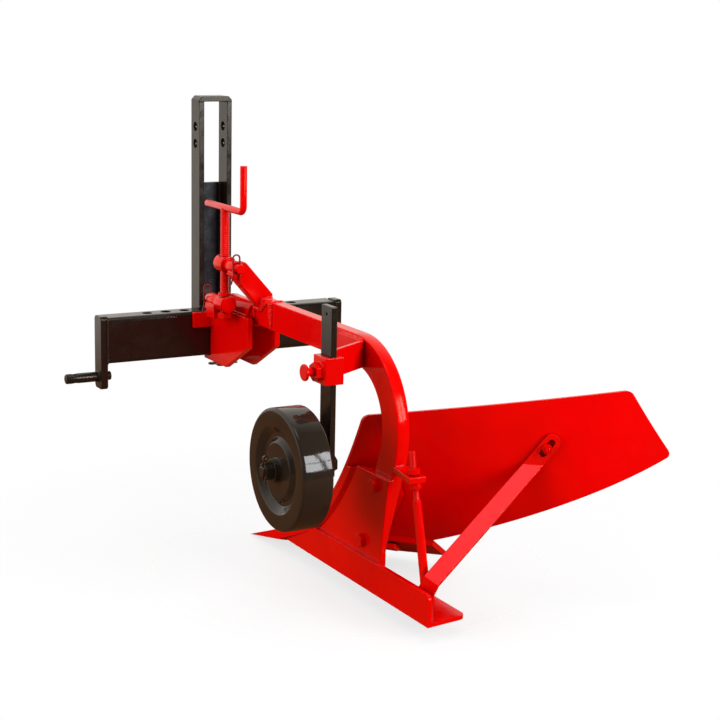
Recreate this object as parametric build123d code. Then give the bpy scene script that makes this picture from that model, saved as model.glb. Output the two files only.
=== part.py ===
from build123d import *
import math
import os

# Single furrow plough for a three-point hitch. Millimetres, +X to the tractor's right, +Y forward, +Z up.
# The origin lies on the landside's sole, below the beam.

# Fits
running_clearance = 0.05
sliding_clearance = 0.3
screw_clearance = 0.7
seat_gap = 0.2

# Hexagon nuts: the cone that takes off their outer corners, as shares of the width and height
nut_cone_low = 0.72
nut_cone_high = 0.5
nut_cone_rise = 1.6

# Hitch headstock
hitch_y = 680.0
hitch_z = 295.0
shoulder_spread = 600.0
link_pin_radius = 11.0
link_pin_root = 10.0
link_pin_reach = 76.0
link_pin_stub = 12.0
linchpin_hole_radius = 6.0
linchpin_hole_reach = 55.0
pin_chamfer = 2.0
end_plate_thickness = 16.0
end_plate_depth = 40.0
end_plate_below = 27.0
end_plate_height = 163.0
end_plate_chamfer = 5.0
bar_height = 103.0
bar_depth = 60.0
bar_wall = 6.0
bar_corner = 10.0
bar_offset_y = 8.0
bar_offset_z = 81.5
shift_pitch = 45.0
shift_steps = 4
shift_hole_radius = 11.0

# Mast
mast_width = 80.0
mast_bar = 12.0
mast_depth = 46.0
mast_top = 905.0
mast_bevel = 8.0
top_link_radius = 10.0
top_link_drops = (106.5, 68.5)
web_thickness = 8.0
web_top = 708.0

# Sliding bracket
cheek_thickness = 12.0
tube_outer = 54.0
cheek_bottom = 314.0
cheek_top = 443.0
cheek_rear = 461.0
cheek_front = 692.0
cheek_chamfer_y = 575.0
cheek_chamfer_z = 377.0
jaw_front = 708.0
guide_half_width = 84.0
guide_height = 34.5
guide_thickness = 10.0
lock_pin_radius = 10.0
lock_pin_low = 292.0
lock_head_radius = 15.0
lock_head_height = 8.0
lock_clip_rise = 9.0
lock_clip_leg = 64.0
lock_clip_side = 40.0
clip_wire = 1.8
clip_bend = 8.0
clip_leg = 62.0
clip_drop = 40.0
clip_bow = 0.96
clip_pinch = 2.0
clip_pinch_reach = 0.45
clip_flare = 4.0
clip_flare_reach = 0.1

# Roll pivot
pivot_z = 446.0
shaft_radius = 19.0
tube_rear = 490.0
tube_front = 618.0
shaft_thread_radius = 13.5
shaft_nut_flats = 41.0
shaft_nut_height = 20.0
thread_tail = 5.0

# Roll screw and its two trunnions
screw_x = -68.0
screw_y = 517.0
lower_trunnion_z = 470.0
upper_trunnion_z = 558.0
trunnion_radius = 18.5
trunnion_length = 43.0
trunnion_chamfer = 1.0
trunnion_pin_radius = 10.0
sleeve_radius = 14.0
sleeve_length = 46.0
sleeve_gap = 0.5
pin_tail = 16.0
screw_radius = 10.0
collar_radius = 14.0
collar_height = 6.0
screw_nut_flats = 29.0
screw_nut_height = 12.0
screw_tail = 3.0
crank_z = 680.0
crank_reach = 93.0
crank_radius = 7.5
crank_top = 778.0
crank_bend = 14.0
outrigger_rear = 540.0
outrigger_front = 580.0
outrigger_bottom = 433.0
outrigger_side = -84.0
outrigger_wrap = 6.0

# Beam
beam_width = 26.0
beam_height = 60.0
beam_bottom = 428.5
beam_front = 400.0
head_front = 486.0
bend_radius = 140.0
bend_angle = 110.0
leg_foot_y = -31.0
leg_foot_z = 62.4
arm_width = 41.0
arm_depth = 35.0
arm_angle = 48.4
arm_rear = 445.0
arm_length = 112.0
arm_start = 2.0

# Depth wheel
wheel_axis_y = -68.5
wheel_axis_z = 263.0
wheel_radius = 117.0
wheel_left = -230.5
wheel_right = -168.0
wheel_wall = 6.0
wheel_round = 5.0
wheel_crease = 2.0
dish_radius = 84.0
dish_depth = 12.0
dish_slope = 14.0
boss_radius = 52.0
boss_slope = 9.0
boss_depth = 4.0
dish_hole_radius = 3.5
dish_hole_inset = 18.5
hub_radius = 22.0
hub_reach = 5.0
axle_radius = 12.5
axle_end = -260.0
axle_collar_radius = 18.0
axle_collar_length = 12.0
axle_tail = 1.5
axle_thread_radius = 10.0
axle_nut_flats = 30.0
axle_nut_height = 9.0
castle_nut_height = 16.0
castle_slot = 5.0
split_pin_radius = 1.8
split_pin_hole = 2.0
split_pin_inset = 4.0
split_pin_drop = 24.0
split_pin_length = 46.0
split_eye_radius = 4.0
axle_washer_thickness = 3.5
side_play = 0.5
standard_x = -121.5
standard_thickness = 12.0
standard_depth = 42.0
standard_bottom = 242.0
standard_top = 567.0
standard_hole_radius = 2.5
standard_hole_drop = 16.0
socket_width = 38.0
socket_depth = 51.0
socket_bottom = 420.0
socket_height = 52.0
socket_play_x = 1.0
socket_play_y = 0.5
clamp_z = 444.0
clamp_radius = 8.0
clamp_nut_flats = 32.0
clamp_nut_height = 14.0
clamp_head_radius = 16.0
clamp_head_height = 6.0
clamp_head_round = 2.0
clamp_end = -175.0
wheel_arm_thickness = 8.0
wheel_arm_height = 53.0
wheel_arm_front = 80.0
wheel_arm_bend = -8.0
wheel_arm_shift = 8.0
wheel_arm_overlap = 6.0

# Landside, frog and stay
land_face = -33.0
land_thickness = 8.0
land_height = 62.0
land_foot = 90.0
heel_y = -305.0
land_front = 283.0
land_nose_y = 161.0
land_nose_z = 52.0
land_shin_y = 148.0
heel_round = 12.0
foot_slant = 12.0
foot_round = 16.0
foot_shoulder_y = 140.0
foot_front_y = 250.0
foot_tip_y = 262.0
frog_thickness = 12.0
frog_top = 234.0
frog_rear_top = -135.0
frog_rear_low = -112.5
frog_rear_step = 85.0
frog_throat_y = 140.0
frog_throat_z = 50.0
frog_toe_y = 225.0
frog_front_gap = 4.0
frog_bolt_rises = (159.0, 29.0)
frog_bolt_ahead = 1.0
frog_bolt_radius = 8.0
frog_bolt_flats = 24.0
frog_head_height = 10.0
frog_nut_height = 13.0
frog_bolt_tail = 4.0
land_bolt_spots = ((112.0, 32.0), (-68.0, 32.0), (-250.0, 33.0))
stay_top_x = -10.0
stay_top_y = -194.0
stay_top_z = 306.0
stay_foot_x = -1.0
stay_foot_y = -241.0
stay_foot_z = 50.0
stay_radius = 8.5
stay_thread_radius = 6.0
stay_thread_length = 92.0
stay_nut_flats = 20.0
stay_nut_height = 11.0
lug_height = 255.0
lug_width = 36.0
lug_thickness = 12.0
lug_shift = -2.0
lug_ahead = 74.0
lug_behind = 15.0
lug_play = 0.5
heel_block_width = 34.0
heel_block_ahead = 20.0
heel_block_behind = 16.0

# Mouldboard: level lines run back from the shin and open out with height
board_thickness = 6.0
joint_height = 67.0
board_angle = 39.4
board_twist = 0.075
shin_start = 95.5
shin_lean = 0.448
shin_toe = 101.0
board_low_x = 138.0
board_low_mid = ((214.8, 123.9), (352.0, 211.5))
board_heel = (467.7, 285.1)
board_tip = (415.7, 402.5)
board_shin_top = 343.9
board_corner = 12.0
board_shin_corner = 13.0
sheet_margin = 30.0
sheet_rows = 8
shin_plate_thickness = 10.0
shin_plate_side = 62.0
shin_plate_drop = 60.0
shin_plate_slant = 24.0
shin_plate_gap = 6.0
plate_margin = 4.0
plough_bolt_radius = 5.5
plough_head_radius = 10.0
plough_head_depth = 5.0
plough_nut_flats = 18.0
plough_nut_height = 9.0
plough_bolt_tail = 3.0
board_bolt_spots = ((20.0, 200.0), (24.0, 150.0), (44.0, 100.0))

# Share
share_joint_rear = -41.0
share_tip_x = -45.0
share_tip_y = 427.0
share_tip_z = -31.0
share_wing_x = 230.0
share_wing_y = 48.0
share_thickness = 12.0
share_bevel = 40.0
share_nose_x = -39.2
share_nose_y = 300.0
share_nose_z = -7.0
share_shin_thickness = 16.0
share_bolt_steps = (0.34, 0.62)
share_bolt_drop = 42.0
bracket_thickness = 10.0
bracket_length = 170.0
bracket_width = 60.0
bracket_gap = 6.0
bracket_low = 30.0

# Brace from the heel to the mouldboard
brace_width = 33.0
brace_thickness = 8.0
brace_fold_x = -6.6
brace_fold_y = -271.0
brace_fold_z = 76.0
brace_foot = 50.0
brace_spot = (272.0, 289.6)
brace_slot = 13.0
brace_slot_length = 40.0
brace_tab = 42.0
brace_tab_end = 31.0
brace_turn = 8.0

# Derived sizes
bar_y = hitch_y + bar_offset_y
bar_z = hitch_z + bar_offset_z
bar_rear = bar_y - bar_depth / 2
bar_front = bar_y + bar_depth / 2
bar_top = bar_z + bar_height / 2
bar_bottom = bar_z - bar_height / 2
bar_half = shoulder_spread / 2 - end_plate_thickness
mast_centre_y = bar_front + mast_depth / 2
cheek_inner = tube_outer / 2
cheek_outer = cheek_inner + cheek_thickness
beam_top = beam_bottom + beam_height
beam_side = beam_width / 2
bend_z = beam_bottom + beam_height / 2 - bend_radius
leg_lean = math.radians(bend_angle - 90)
leg_start_z = bend_z - bend_radius * math.sin(leg_lean)
leg_length = (leg_start_z - leg_foot_z) / math.cos(leg_lean)
leg_start_y = leg_foot_y - leg_length * math.sin(leg_lean)
bend_y = leg_start_y + bend_radius * math.cos(leg_lean)
top_link_heights = [mast_top - drop for drop in top_link_drops]
stay_top = Vector(stay_top_x, stay_top_y, stay_top_z)
stay_foot = Vector(stay_foot_x, stay_foot_y, stay_foot_z)
share_tip = Vector(share_tip_x, share_tip_y, share_tip_z)
share_wing = Vector(share_wing_x, share_wing_y, 0)
share_nose = Vector(share_nose_x, share_nose_y, share_nose_z)
far = 2 * mast_top
frog_left = -beam_side - frog_thickness
wall_inner = land_face + land_thickness
lower_start = Align.CENTER, Align.CENTER, Align.MIN
nodes = {}


def block(x_range, y_range, z_range):
    size = [high - low for low, high in (x_range, y_range, z_range)]
    middle = [(high + low) / 2 for low, high in (x_range, y_range, z_range)]
    return Pos(*middle) * Box(*size)


def post(start, direction, radius, length):
    """Round bar from a start point along a direction."""
    return Plane(origin=start, z_dir=direction) * Cylinder(radius, length, align=lower_start)


def tube(start, direction, outer, inner, length):
    return post(start, direction, outer, length) - post(start, direction, inner, length)


def hex_nut(start, direction, flats, height, bore):
    outline = RegularPolygon(flats / 2, 6, major_radius=False)
    body = extrude(outline, amount=height)
    corner_cone = Cone(flats * nut_cone_low, flats * nut_cone_high, height * nut_cone_rise, align=lower_start)
    body = body & corner_cone
    if bore:
        body = body - Cylinder(bore, height, align=lower_start)
    return Plane(origin=start, z_dir=direction) * body


def side_plate(points, x_low, x_high):
    """Flat plate with a side-view outline of (y, z) points."""
    outline = make_face(Polyline(*points, close=True))
    return extrude(Plane.YZ.offset(x_low) * outline, amount=x_high - x_low)


def corner(shape, point):
    return shape.vertices().sort_by_distance(point)[0]


def group(*solids):
    return Compound(children=[part for part in solids])


def hairpin(start, along, across, leg, width):
    """Spring clip: a straight leg along a direction, a round bow and a second leg beside it."""
    frame = Plane(origin=start, x_dir=across, z_dir=Vector(*across).cross(Vector(*along)))
    bow = width / 2
    path = frame * FilletPolyline(
        (0, 0),
        (0, leg + bow),
        (width, leg + bow),
        (width - clip_pinch, leg * clip_pinch_reach),
        (width + clip_flare, leg * clip_flare_reach),
        radius=bow * clip_bow,
    )
    section = Plane(origin=path @ 0, z_dir=path % 0) * Circle(clip_wire)
    return sweep(section, path)


def headstock():
    profile = RectangleRounded(bar_depth, bar_height, bar_corner)
    hollow = RectangleRounded(bar_depth - 2 * bar_wall, bar_height - 2 * bar_wall, bar_corner - bar_wall)
    place = Plane(origin=(0, bar_y, bar_z), x_dir=(0, 1, 0), z_dir=(1, 0, 0))
    crossbar = extrude(place * profile, amount=bar_half, both=True)
    crossbar = crossbar - extrude(place * hollow, amount=bar_half - bar_wall, both=True)
    for step in range(-shift_steps, shift_steps + 1):
        low = (step * shift_pitch, bar_y, bar_bottom - 1)
        crossbar = crossbar - post(low, (0, 0, 1), shift_hole_radius, bar_height + 2)
    nodes["crossbar"] = crossbar
    x_range = (bar_half, shoulder_spread / 2)
    y_range = (hitch_y - end_plate_depth / 2, hitch_y + end_plate_depth / 2)
    low = hitch_z - end_plate_below
    plate = block(x_range, y_range, (low, low + end_plate_height))
    plate = chamfer(plate.edges().filter_by(Axis.X), end_plate_chamfer)
    plate = plate - post((bar_half, hitch_y, hitch_z), (1, 0, 0), link_pin_root, end_plate_thickness)
    nodes["end_plates"] = group(plate, mirror(plate, about=Plane.YZ))
    pin = post((shoulder_spread / 2, hitch_y, hitch_z), (1, 0, 0), link_pin_radius, link_pin_reach)
    pin = chamfer(pin.edges().sort_by(Axis.X)[-1], pin_chamfer)
    root_length = link_pin_stub + end_plate_thickness
    pin = pin + post((bar_half - link_pin_stub, hitch_y, hitch_z), (1, 0, 0), link_pin_root, root_length)
    hole_x = shoulder_spread / 2 + linchpin_hole_reach
    hole_low = hitch_z - 2 * link_pin_radius
    pin = pin - post((hole_x, hitch_y, hole_low), (0, 0, 1), linchpin_hole_radius, 4 * link_pin_radius)
    nodes["link_pins"] = group(pin, mirror(pin, about=Plane.YZ))


def mast():
    half = mast_width / 2
    inner = half - mast_bar
    front = bar_front + mast_depth
    upright = block((inner, half), (bar_front, front), (bar_bottom, mast_top - mast_bar))
    for height in top_link_heights:
        bore_start = (inner, mast_centre_y, height)
        upright = upright - post(bore_start, (1, 0, 0), top_link_radius, mast_bar)
    nodes["mast_right"] = upright
    nodes["mast_left"] = mirror(upright, about=Plane.YZ)
    cap = block((-half, half), (bar_front, front), (mast_top - mast_bar, mast_top))
    top_sides = cap.edges().filter_by(Axis.Y).group_by(Axis.Z)[-1]
    nodes["mast_cap"] = chamfer(top_sides, mast_bevel)
    nodes["mast_web"] = block((-inner, inner), (front - web_thickness, front), (bar_bottom, web_top))


def bracket():
    gap = sliding_clearance
    slot_rear = bar_rear - gap - guide_thickness
    slot_top = bar_top + gap
    slot_low = slot_top - guide_height
    outline = [
        (cheek_front, cheek_bottom),
        (cheek_chamfer_y, cheek_bottom),
        (cheek_rear, cheek_chamfer_z),
        (cheek_rear, cheek_top),
        (cheek_front, cheek_top),
        (cheek_front, slot_top),
        (slot_rear, slot_top),
        (slot_rear, slot_low),
        (bar_rear - gap, slot_low),
        (bar_rear - gap, bar_bottom - gap),
        (cheek_front, bar_bottom - gap),
    ]
    cheek = side_plate(outline, cheek_inner, cheek_outer)
    nodes["cheek_right"] = cheek
    nodes["cheek_left"] = mirror(cheek, about=Plane.YZ)
    inner = (-cheek_inner, cheek_inner)
    pin_hole = post((0, bar_y, lock_pin_low), (0, 0, 1), lock_pin_radius + running_clearance, bar_height * 2)
    lower = block(inner, (bar_rear, jaw_front), (cheek_bottom, bar_bottom - gap))
    nodes["lower_jaw"] = lower - pin_hole
    upper = block(inner, (bar_rear, jaw_front), (slot_top, cheek_top))
    nodes["upper_jaw"] = upper - pin_hole
    guide = (-guide_half_width, guide_half_width)
    nodes["guide_bar"] = block(guide, (slot_rear, bar_rear - gap), (slot_low, slot_top))
    pin = post((0, bar_y, lock_pin_low), (0, 0, 1), lock_pin_radius, cheek_top - lock_pin_low)
    pin = chamfer(pin.edges().sort_by(Axis.Z)[0], pin_chamfer)
    head = post((0, bar_y, cheek_top), (0, 0, 1), lock_head_radius, lock_head_height)
    pin = pin + chamfer(head.edges().sort_by(Axis.Z)[-1], pin_chamfer)
    clip_z = lock_pin_low + lock_clip_rise
    clip_hole = post((-lock_head_radius, bar_y, clip_z), (1, 0, 0), clip_wire, 2 * lock_head_radius)
    pin = pin - clip_hole
    nodes["lock_pin"] = pin
    clip_start = (lock_clip_side, bar_y, clip_z)
    nodes["lock_clip"] = hairpin(clip_start, (-1, 0, 0), (0, -1, 0), lock_clip_leg, 2 * clip_bend)


def roll_pivot():
    length = tube_front - tube_rear
    inner = shaft_radius + running_clearance
    nodes["pivot_tube"] = tube((0, tube_rear, pivot_z), (0, 1, 0), tube_outer / 2, inner, length)
    shaft_front = tube_front + sliding_clearance
    shaft = post((0, head_front, pivot_z), (0, 1, 0), shaft_radius, shaft_front - head_front)
    thread_length = shaft_nut_height + thread_tail
    thread = post((0, shaft_front, pivot_z), (0, 1, 0), shaft_thread_radius, thread_length)
    nodes["pivot_shaft"] = shaft + chamfer(thread.edges().sort_by(Axis.Y)[-1], pin_chamfer)
    start = (0, shaft_front, pivot_z)
    nodes["shaft_nut"] = hex_nut(start, (0, 1, 0), shaft_nut_flats, shaft_nut_height, shaft_thread_radius)


def trunnion(height, pin_way, bore):
    """Round block on the screw with a pin along Y, turned in a sleeve."""
    body_start = screw_y - trunnion_length / 2
    body = post((screw_x, body_start, height), (0, 1, 0), trunnion_radius, trunnion_length)
    body = chamfer(body.edges().filter_by(GeomType.CIRCLE), trunnion_chamfer)
    pin_start = screw_y + pin_way * trunnion_length / 2
    pin_length = sleeve_gap + sleeve_length + pin_tail
    pin_radius = trunnion_pin_radius - running_clearance
    pin = post((screw_x, pin_start, height), (0, pin_way, 0), pin_radius, pin_length)
    clip_y = pin_start + pin_way * (sleeve_gap + sleeve_length + pin_tail / 2)
    cut = 2 * trunnion_radius
    body = body + pin - post((screw_x, screw_y, height - cut), (0, 0, 1), bore, 2 * cut)
    return body - post((screw_x, clip_y, height - cut), (0, 0, 1), clip_wire, 2 * cut), clip_y


def sleeve(height, pin_way):
    start = screw_y + pin_way * (trunnion_length / 2 + sleeve_gap)
    return tube((screw_x, start, height), (0, pin_way, 0), sleeve_radius, trunnion_pin_radius, sleeve_length)


def roll_screw():
    lower, lower_clip_y = trunnion(lower_trunnion_z, 1, screw_radius + running_clearance)
    nodes["lower_trunnion"] = lower
    upper, upper_clip_y = trunnion(upper_trunnion_z, -1, screw_radius + screw_clearance)
    nodes["upper_trunnion"] = upper
    lower_clip_start = (screw_x, lower_clip_y, lower_trunnion_z - clip_drop)
    nodes["lower_clip"] = hairpin(lower_clip_start, (0, 0, 1), (-1, 0, 0), clip_leg, 2 * clip_bend)
    upper_clip_start = (screw_x, upper_clip_y, upper_trunnion_z - clip_drop)
    nodes["upper_clip"] = hairpin(upper_clip_start, (0, 0, 1), (-1, 0, 0), clip_leg, 2 * clip_bend)
    nodes["lower_sleeve"] = sleeve(lower_trunnion_z, 1)
    nodes["upper_sleeve"] = sleeve(upper_trunnion_z, -1)
    seat_top = lower_trunnion_z - sleeve_radius + outrigger_wrap
    seat_x = (outrigger_side, -cheek_outer)
    seat = block(seat_x, (outrigger_rear, outrigger_front), (outrigger_bottom, seat_top))
    hollow = post((screw_x, outrigger_rear, lower_trunnion_z), (0, 1, 0), sleeve_radius, far)
    nodes["outrigger"] = seat - hollow
    journal = trunnion_radius + sliding_clearance
    bottom = lower_trunnion_z - journal - screw_nut_height - screw_tail
    screw = post((screw_x, screw_y, bottom), (0, 0, 1), screw_radius, crank_z - bottom)
    screw = chamfer(screw.edges().sort_by(Axis.Z)[0], pin_chamfer)
    path = FilletPolyline(
        (screw_x, screw_y + crank_reach, crank_z),
        (screw_x, screw_y - crank_reach, crank_z),
        (screw_x, screw_y - crank_reach, crank_top),
        radius=crank_bend,
    )
    section = Plane(origin=path @ 0, z_dir=path % 0) * Circle(crank_radius)
    handle = sweep(section, path)
    nodes["crank_handle"] = handle
    nodes["crank_screw"] = screw - handle
    collar_start = (screw_x, screw_y, lower_trunnion_z + journal)
    nodes["screw_collar"] = tube(collar_start, (0, 0, 1), collar_radius, screw_radius, collar_height)
    nut_start = (screw_x, screw_y, lower_trunnion_z - journal)
    nodes["screw_nut"] = hex_nut(nut_start, (0, 0, -1), screw_nut_flats, screw_nut_height, screw_radius)


def beam():
    side = (-beam_side, beam_side)
    height = (beam_bottom, beam_top)
    nodes["head_block"] = block(side, (beam_front, head_front), height)
    start = (0, beam_front, bend_z + bend_radius)
    section = Plane(origin=start, x_dir=(1, 0, 0), z_dir=(0, -1, 0))
    straight = Line(start, (0, bend_y, bend_z + bend_radius))
    face = Plane(origin=(0, bend_y, bend_z), x_dir=(0, 1, 0), z_dir=(1, 0, 0))
    arch = face * CenterArc((0, 0), bend_radius, 90, bend_angle)
    leg = Line(arch @ 1, (arch @ 1) + (arch % 1) * leg_length)
    path = Wire([straight, arch, leg])
    body = sweep(section * Rectangle(beam_width, beam_height), path)
    holes = [frog_bolt_centre(rise) for rise in frog_bolt_rises]
    for hole_y, hole_z in holes:
        body = body - post((-beam_side, hole_y, hole_z), (1, 0, 0), frog_bolt_radius, beam_width)
    nodes["beam"] = body
    across = Vector(math.cos(math.radians(arm_angle)), 0, -math.sin(math.radians(arm_angle)))
    arm_middle = arm_rear + arm_depth / 2
    place = Plane(origin=(screw_x, arm_middle, upper_trunnion_z), x_dir=across, z_dir=(0, 1, 0))
    arm = place * Pos(arm_start + arm_length / 2, 0, 0) * Box(arm_length, arm_width, arm_depth)
    arm = arm - block((-beam_side, far), (0, head_front), (0, beam_top))
    arm = arm & block((-far, beam_side), (0, head_front), (beam_bottom, far))
    nodes["tilt_arm"] = arm - post((screw_x, 0, upper_trunnion_z), (0, 1, 0), sleeve_radius, far)


def frog_bolt_centre(rise):
    """Point ahead of the leg's middle line, at a distance up from its foot."""
    y = leg_foot_y - rise * math.sin(leg_lean) + frog_bolt_ahead * math.cos(leg_lean)
    z = leg_foot_z + rise * math.cos(leg_lean) + frog_bolt_ahead * math.sin(leg_lean)
    return y, z


def wheel_gear():
    socket_side = socket_width / 2
    x_range = (standard_x - socket_side, standard_x + socket_side)
    y_range = (wheel_axis_y - socket_depth / 2, wheel_axis_y + socket_depth / 2)
    z_range = (socket_bottom, socket_bottom + socket_height)
    slot_x = standard_thickness / 2 + socket_play_x
    slot_y = standard_depth / 2 + socket_play_y
    slot = block(
        (standard_x - slot_x, standard_x + slot_x),
        (wheel_axis_y - slot_y, wheel_axis_y + slot_y),
        (socket_bottom - 1, socket_bottom + socket_height + 1),
    )
    screw_bore = clamp_radius + running_clearance
    socket_left = standard_x - socket_side
    outer = block(x_range, y_range, z_range)
    socket = outer - slot
    socket = socket - post((socket_left, wheel_axis_y, clamp_z), (1, 0, 0), screw_bore, socket_side)
    nodes["clamp_socket"] = socket
    nut_start = (socket_left, wheel_axis_y, clamp_z)
    nodes["clamp_nut"] = hex_nut(nut_start, (-1, 0, 0), clamp_nut_flats, clamp_nut_height, screw_bore)
    tip_x = standard_x - standard_thickness / 2 - sliding_clearance
    screw = post((tip_x, wheel_axis_y, clamp_z), (-1, 0, 0), clamp_radius, tip_x - clamp_end)
    head = post((clamp_end, wheel_axis_y, clamp_z), (1, 0, 0), clamp_head_radius, clamp_head_height)
    nodes["clamp_screw"] = screw + fillet(head.edges().filter_by(GeomType.CIRCLE), clamp_head_round)
    half = wheel_arm_thickness / 2
    z_arm = (beam_bottom, beam_bottom + wheel_arm_height)
    middle = -beam_side - half
    flank = block((middle - half, -beam_side), (wheel_arm_bend, wheel_arm_front), z_arm)
    corner_post = post((middle, wheel_arm_bend, beam_bottom), (0, 0, 1), half, wheel_arm_height)
    reach = Vector(socket_left + socket_width - middle, wheel_axis_y + wheel_arm_shift - wheel_arm_bend, 0)
    place = Plane(origin=(middle, wheel_arm_bend, beam_bottom), x_dir=reach, z_dir=(0, 0, 1))
    length = reach.length + wheel_arm_overlap
    strut = Pos(length / 2, 0, wheel_arm_height / 2) * Box(length, wheel_arm_thickness, wheel_arm_height)
    nodes["wheel_arm"] = flank + corner_post + place * strut - outer - slot
    standard = block(
        (standard_x - standard_thickness / 2, standard_x + standard_thickness / 2),
        (wheel_axis_y - standard_depth / 2, wheel_axis_y + standard_depth / 2),
        (standard_bottom, standard_top),
    )
    left = standard_x - standard_thickness / 2
    right = standard_x + standard_thickness / 2
    axle_start = (left, wheel_axis_y, wheel_axis_z)
    standard = standard - post(axle_start, (1, 0, 0), axle_thread_radius, standard_thickness)
    hole_start = (left, wheel_axis_y, standard_top - standard_hole_drop)
    nodes["standard"] = standard - post(hole_start, (1, 0, 0), standard_hole_radius, standard_thickness)
    hub_right = left - axle_collar_length
    hub_left = wheel_left - hub_reach
    washer_right = hub_left - side_play
    washer_start = (washer_right, wheel_axis_y, wheel_axis_z)
    shoulder = post(washer_start, (1, 0, 0), axle_radius, hub_right - washer_right)
    collar = post((hub_right, wheel_axis_y, wheel_axis_z), (1, 0, 0), axle_collar_radius, axle_collar_length)
    core_length = right + axle_nut_height + axle_tail - axle_end
    core = post((axle_end, wheel_axis_y, wheel_axis_z), (1, 0, 0), axle_thread_radius, core_length)
    pin_x = washer_right - axle_washer_thickness - castle_nut_height + split_pin_inset
    pin_low = wheel_axis_z - split_pin_drop
    pin_hole = post((pin_x, wheel_axis_y, pin_low), (0, 0, 1), split_pin_hole, split_pin_length)
    nodes["axle"] = shoulder + collar + core - pin_hole
    nut_start = (right, wheel_axis_y, wheel_axis_z)
    nodes["axle_nut"] = hex_nut(nut_start, (1, 0, 0), axle_nut_flats, axle_nut_height, axle_thread_radius)
    washer = tube(washer_start, (-1, 0, 0), hub_radius, axle_thread_radius, axle_washer_thickness)
    nodes["axle_washer"] = washer
    nut_start = (washer_right - axle_washer_thickness, wheel_axis_y, wheel_axis_z)
    castle = hex_nut(nut_start, (-1, 0, 0), axle_nut_flats, castle_nut_height, axle_thread_radius)
    slot_side = castle_slot / 2
    slot_y = (wheel_axis_y - slot_side, wheel_axis_y + slot_side)
    nodes["castle_nut"] = castle - block((axle_end, pin_x + slot_side), slot_y, (0, far))
    leg = post((pin_x, wheel_axis_y, pin_low), (0, 0, 1), split_pin_radius, split_pin_length)
    eye_z = pin_low + split_pin_length + split_eye_radius - split_pin_radius / 2
    eye_place = Plane(origin=(pin_x, wheel_axis_y, eye_z), z_dir=(0, 1, 0))
    nodes["split_pin"] = leg + eye_place * Torus(split_eye_radius, split_pin_radius)
    inner = axle_radius + running_clearance
    hub_length = hub_right - side_play - hub_left
    nodes["hub"] = tube((hub_left, wheel_axis_y, wheel_axis_z), (1, 0, 0), hub_radius, inner, hub_length)
    nodes["wheel"] = wheel()


def wheel():
    left = wheel_left
    wall = wheel_wall
    hub_face = left + boss_depth
    floor = left + dish_depth
    profile = [
        (left, wheel_radius),
        (left, dish_radius),
        (floor, dish_radius - dish_slope),
        (floor, boss_radius + boss_slope),
        (hub_face, boss_radius),
        (hub_face, hub_radius),
        (hub_face + wall, hub_radius),
        (hub_face + wall, boss_radius - wheel_crease),
        (floor + wall, boss_radius + boss_slope - wheel_crease),
        (floor + wall, dish_radius - dish_slope + wheel_crease),
        (left + wall, dish_radius + wheel_crease),
        (left + wall, wheel_radius - wall),
        (wheel_right, wheel_radius - wall),
        (wheel_right, wheel_radius),
    ]
    face = make_face(Polyline(*profile, close=True))
    body = revolve(face, axis=Axis.X)
    rims = body.edges().filter_by(GeomType.CIRCLE).group_by(lambda edge: edge.radius)[-1]
    body = fillet(rims, wheel_round)
    body = body - post((left, 0, dish_hole_inset - dish_radius), (1, 0, 0), dish_hole_radius, far)
    return Pos(0, wheel_axis_y, wheel_axis_z) * body


def level_angle(height):
    return math.radians(board_angle + board_twist * (height - joint_height))


def board_point(x, height):
    toe = shin_toe * math.exp((joint_height - height) / shin_toe)
    shin_y = shin_start - shin_lean * height + toe
    return Vector(x, shin_y - (x - land_face) / math.tan(level_angle(height)), height)


def board_normal(x, height):
    """Unit normal of the mouldboard towards its working side."""
    along = board_point(x + 1, height) - board_point(x - 1, height)
    upward = board_point(x, height + 1) - board_point(x, height - 1)
    return upward.cross(along).normalized()


def board_sheet(offset, thickness):
    """Curved sheet that starts at an offset from the mouldboard's back and goes towards the working side."""
    def skin(depth):
        rows = []
        for row in range(sheet_rows + 1):
            height = low + row * (high - low) / sheet_rows
            line = [(left + column * (right - left) / sheet_rows, height) for column in range(sheet_rows + 1)]
            rows.append([board_point(*spot) + board_normal(*spot) * depth for spot in line])
        return Face.make_surface_from_array_of_points(rows)
    left = land_face - sheet_margin
    right = board_heel[0] + sheet_margin
    low = joint_height - sheet_margin
    high = board_tip[1] + sheet_margin
    return Solid.thicken(skin(offset), thickness, normal_override=(0.7, 0.7, 0.2))


def front_prism(outline):
    return extrude(Plane.XZ * outline, amount=far, both=True)


def board_outline():
    low = (board_low_x, joint_height)
    lower = Spline(low, *board_low_mid, board_heel)
    edges = [
        Line((land_face, joint_height), low),
        lower,
        Line(board_heel, board_tip),
        Line(board_tip, (land_face, board_shin_top)),
        Line((land_face, board_shin_top), (land_face, joint_height)),
    ]
    face = make_face(edges)
    face = fillet([corner(face, (*spot, 0)) for spot in (board_heel, board_tip)], board_corner)
    return fillet(corner(face, (land_face, board_shin_top, 0)), board_shin_corner)


def plough_bolt(face_point, normal, grip):
    """Countersunk plough bolt, its head flush with the working side, and its nut behind the grip."""
    place = Plane(origin=face_point, z_dir=normal * -1)
    head = Cone(plough_head_radius, plough_bolt_radius, plough_head_depth, align=lower_start)
    shank = Cylinder(plough_bolt_radius, grip + plough_nut_height + plough_bolt_tail, align=lower_start)
    bolt = place * (head + shank)
    nut_start = face_point - normal * grip
    nut = hex_nut(nut_start, normal * -1, plough_nut_flats, plough_nut_height, plough_bolt_radius)
    return bolt, nut


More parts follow.
